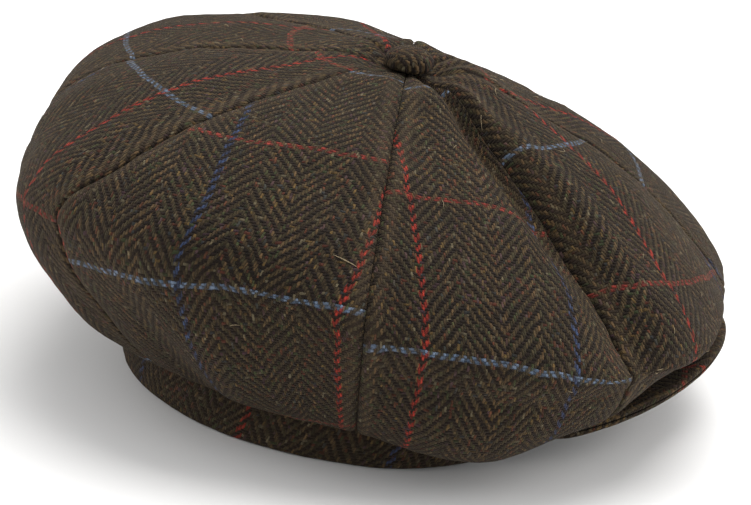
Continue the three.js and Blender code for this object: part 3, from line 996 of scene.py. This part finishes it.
fibres = []
for i in range(FIBRES):
    angle, t = draw.uniform(0, 360), draw.uniform(0.12, 0.8)
    heading, length = draw.uniform(0, 2 * math.pi), draw.uniform(1.5, 4.0)
    spread = float(crown_radius(np.array(angle), np.array(t)))
    run_angle = math.degrees(length * math.cos(heading) / spread)
    run_t = length * math.sin(heading) / CLOTH_RUN
    fibres.append(tube(fibre_path(angle, t, run_angle, run_t, draw.uniform(-0.7, 0.7)), FIBRE_RADIUS, 5))
fibres.append(tube(fibre_path(-97.2, 0.485, 4.8, 0.01, 0.1), 0.19, 5))  # the thick one on the right side
fit(join_parts("stray_fibres", fibres), STRAY)

# ----- peak
PEAK_CHECKS = (34.0, 112.0)  # where the checks fall on the covers


def peak_piece(low, high, margin, roll_low, roll_high, out):
    """One layer of the peak between two heights. Its outer edge curls by the roll heights, down or up."""
    span = PEAK_HALF_ANGLE - 0.8 - margin * 0.5
    x = np.linspace(-1, 1, 97)
    angle = (span * np.sign(x) * (1 - (1 - np.abs(x)) ** 1.25))[:, None]
    run = np.concatenate([np.linspace(0, 0.94, 12), 0.94 + (out - 0.94) * np.linspace(0, 1, 9)[1:]])[None, :]
    angle, run = angle + 0 * run, run + 0 * angle
    curl = np.clip((run - 0.955) / (out - 0.955), 0, 1)
    curl = 1 - np.sqrt(1 - curl * curl)
    thin = PEAK_END_THICKNESS + (1 - PEAK_END_THICKNESS) * step(0, 0.2, 1 - np.abs(x))[:, None]
    low, high = (PEAK_MIDDLE + (height - PEAK_MIDDLE) * thin for height in (low, high))
    roll_low, roll_high = roll_low * thin, roll_high * thin
    base = peak_point(angle, run, 0 * run)
    ripple = 0.22 * rough(base, 14, 8) + 0.1 * rough(base, 5, 9)
    upper = peak_point(angle, run, high + roll_high * curl + ripple)
    lower = peak_point(angle, run, low + roll_low * curl + ripple)
    return upper, lower, run, angle


for name, low, high, margin, roll_low, roll_high, out, node, material, slot in (
    ("peak_top", 3.6, 4.8, 0, -1.05, -1.75, 1.045, "peak_top_cover", TWEED, "tweed"),
    ("peak_under", 0.0, 1.2, 0, 1.65, 0.95, 1.045, "peak_under_cover", TWEED, "tweed"),
    ("peak_stiffener", 1.5, 3.3, 1, 0.4, -0.4, 0.97, "peak_board", BOARD, "peak_board"),
):
    upper, lower, run, angle = peak_piece(low, high, margin, roll_low, roll_high, out)
    face = upper if name == "peak_top" else lower
    steps = np.linalg.norm(np.diff(face, axis=1), axis=-1)
    reach = opening_radius(angle) + PEAK_FOOT
    reach = reach + np.concatenate([0 * steps[:, :1], np.cumsum(steps, axis=1)], axis=1)
    flat = (outward(angle) * reach[..., None])[..., :2] + np.array(PEAK_CHECKS)
    layer = shell(name, upper, lower, flat)
    set_value(layer, "wear_and_painted_light", np.concatenate([bell((run - 1.0) / 0.05).ravel()] * 2))
    paint(layer, material)
    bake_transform(layer)
    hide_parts(node)

# ----- button
BUTTON_AT = np.array([BUTTON_OFFSET, 0, CROWN_HEIGHT - BUTTON_DIP + 3.3])


def button_cover():
    """The cloth pulled over the button's shell: a low dome whose edge turns in, with pleats at the edge."""
    count = 72
    angle = np.linspace(0, 360, count, endpoint=False)[:, None]
    u = np.linspace(0, math.pi / 2, 14)
    outer = [(9.0 * math.cos(x) ** 0.9, 5.5 * math.sin(x)) for x in u]
    profile = [(6.4, -1.8), (8.3, -1.8), (8.9, -1.2), (9.15, -0.5)] + outer[:-1]
    inside = [(8.0 * math.cos(x) ** 0.9, 4.6 * math.sin(x)) for x in u[:-1:2]]
    under = inside[::-1] + [(8.1, -0.7), (6.5, -0.9)]
    rings = profile + [(0.35, 5.49)], [(0.3, 4.6)] + under
    line = np.array(rings[0] + rings[1])
    radius, height = line[:, 0][None, :], line[:, 1][None, :]
    is_out = np.array([1.0] * len(rings[0]) + [0.0] * len(rings[1]))[None, :]
    low = np.clip(1 - height / 4.5, 0, 1)  # 1 at the button's edge
    pleat = 0.28 * np.sin(np.radians(11 * angle) + 1.1 * np.sin(np.radians(2 * angle)))
    lump = 0.35 * np.sin(np.radians(2 * angle + 40))
    radius = radius + is_out * low * (pleat + 0.25 * lump)
    height = height + is_out * 0.25 * np.sin(np.radians(3 * angle)) * low * (radius / 9)
    x = np.cos(np.radians(angle)) * radius
    y = np.sin(np.radians(angle)) * radius
    points = np.stack([x, y, height + 0 * x], axis=-1) + BUTTON_AT
    cols = points.shape[1]
    top = len(rings[0]) - 1
    faces = []
    for i in range(count):
        n = (i + 1) % count
        for j in range(cols):
            k = (j + 1) % cols
            if j != top:
                faces.append((i * cols + j, n * cols + j, n * cols + k, i * cols + k))
    faces.append(tuple(i * cols + top for i in range(count)))
    faces.append(tuple(i * cols + top + 1 for i in reversed(range(count))))
    obj = add_object("button_cloth", points.reshape(-1, 3), faces)
    outward_faces(obj)
    flat = points.reshape(-1, 3) - BUTTON_AT
    set_uv(obj, flat[:, :2] * 1.25 + np.array([31.0, 17.0]))
    set_value(obj, "wear_and_painted_light", np.clip((flat[:, 2] - 2.5) / 3, 0, 1) * 0.5)
    return obj


cover = fit(button_cover(), TWEED, "button_cover")

# ----- press stud
STUD_HOLES = 3.9  # from the middle to the sewing holes


def on_stud(points):
    return [STUD_AT + STUD_TILT @ Vector(p) for p in points]


def rounded(profile, per_corner=4, cut=0.3):
    """A profile with its corners rounded off, its ends left where they are."""
    line = [Vector(p) for p in profile]
    out = [line[0]]
    for before, corner, after in zip(line, line[1:], line[2:]):
        a = corner + (before - corner) * min(0.45, cut / (before - corner).length)
        b = corner + (after - corner) * min(0.45, cut / (after - corner).length)
        for i in range(per_corner):
            s = i / (per_corner - 1)
            out.append(a.lerp(corner, s).lerp(corner.lerp(b, s), s))
    return out + [line[-1]]


def turned(name, profile, count=64):
    """A closed turned piece on the stud's axis. Its profile starts and ends on the axis."""
    line = rounded(profile)[1:-1]
    points = [(0, 0, profile[0][1]), (0, 0, profile[-1][1])]
    for i in range(count):
        a = 2 * math.pi * i / count
        points += [(r * math.cos(a), r * math.sin(a), z) for r, z in line]
    cols = len(line)
    faces = []
    for i in range(count):
        here, there = 2 + i * cols, 2 + (i + 1) % count * cols
        faces.append((0, there, here))
        faces.append((1, here + cols - 1, there + cols - 1))
        faces += [(here + j, there + j, there + j + 1, here + j + 1) for j in range(cols - 1)]
    obj = add_object(name, on_stud(points), faces)
    outward_faces(obj)
    return obj


def stud_stitches(name, low, high):
    """Four loops of thread that sew a half of the stud to the cloth."""
    loops = []
    for k in range(4):
        a = math.radians(45 + 90 * k)
        for aside in (-0.35, 0.0, 0.35):
            x, y = math.cos(a), math.sin(a)
            path = [(x * r - y * aside, y * r + x * aside, z)
                    for r, z in ((STUD_HOLES, low), (STUD_HOLES, high - 0.25), (STUD_HOLES + 0.4, high),
                                 (5.5, high), (5.95, high - 0.3), (6.0, low))]
            loops.append(tube(on_stud(path), 0.12))
    return join_parts(name, loops)


# The halves' profiles: distance from the axis and height over STUD_AT
BALL = ((0, 0.3), (5.5, 0.3), (5.5, 0.85), (4.9, 1.0), (1.6, 1.05), (1.15, 1.5), (1.9, 2.0), (1.5, 2.6),
        (0, 2.85))
SOCKET = ((0, 3.3), (2.6, 3.3), (3.2, 2.9), (3.2, 1.9), (3.7, 1.35), (4.6, 1.3), (5.5, 2.0), (5.5, 3.0),
          (5.0, 3.5), (4.4, 4.0), (3.6, 4.7), (0, SOCKET_TOP))
for half, profile, body in (("ball", BALL, "peak"), ("socket", SOCKET, "cap")):
    fit(turned("stud_" + half, profile), METAL, "press_stud_" + half, body)
for half, body, low, high in (("ball", "peak", -0.5, 1.02), ("socket", "cap", 6.6, 2.6)):
    fit(stud_stitches("stud_" + half + "_stitching", low, high), THREAD, body=body)

# ----- CAD nodes that stay
for node, material in (
    ("band_interlining", STIFFENER), ("button_shell", METAL), ("button_back_plate", METAL),
    ("button_thread", THREAD), ("button_anchor_disc", BOARD),
):
    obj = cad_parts[node]
    if not obj.material_slots:
        obj.data.materials.append(material)
    for material_slot in obj.material_slots:
        material_slot.material = material

# ----- floor, light
FLOOR_LEVEL = -0.0004
floor_mesh = bpy.data.meshes.new("floor")
corners = [(x, y, FLOOR_LEVEL) for x, y in ((-4, -4), (4, -4), (4, 4), (-4, 4))]
floor_mesh.from_pydata(corners, [], [(0, 1, 2, 3)])
floor = bpy.data.objects.new("floor", floor_mesh)
SCENE.collection.objects.link(floor)
g = Graph("floor")
grain = g.noise(g.in_object(), 3.0, 3.0)
tone = g.greys(grain, (0.3, 0.87), (0.7, 0.89))
paint(floor, g.finish(tone, g.scaled(grain, 0.1, 0.8), grain, 0.0005, 0.2, Specular_IOR_Level=0.1))

world = bpy.data.worlds.new("studio")
SCENE.world = world
world.use_nodes = True
sky = world.node_tree.nodes["Background"]
sky.inputs["Color"].default_value = (1.0, 1.0, 1.0, 1)
sky.inputs["Strength"].default_value = 0.82


def soft_box(name, place, size, power):
    lamp = bpy.data.lights.new(name, "AREA")
    lamp.size = size
    lamp.energy = power
    lamp.color = (1.0, 0.985, 0.965)
    obj = bpy.data.objects.new(name, lamp)
    obj.location = place
    obj.rotation_mode = "QUATERNION"
    obj.rotation_quaternion = (Vector(place) - VIEW_TARGET).to_track_quat("Z", "Y")
    SCENE.collection.objects.link(obj)


soft_box("overhead", (0.32, -0.15, 1.5), 1.3, 24)
soft_box("peak_side", (0.2, -1.5, 0.9), 1.0, 9)
soft_box("back_side", (0.2, 1.5, 0.9), 1.0, 6)
SCENE.view_settings.view_transform = "Standard"
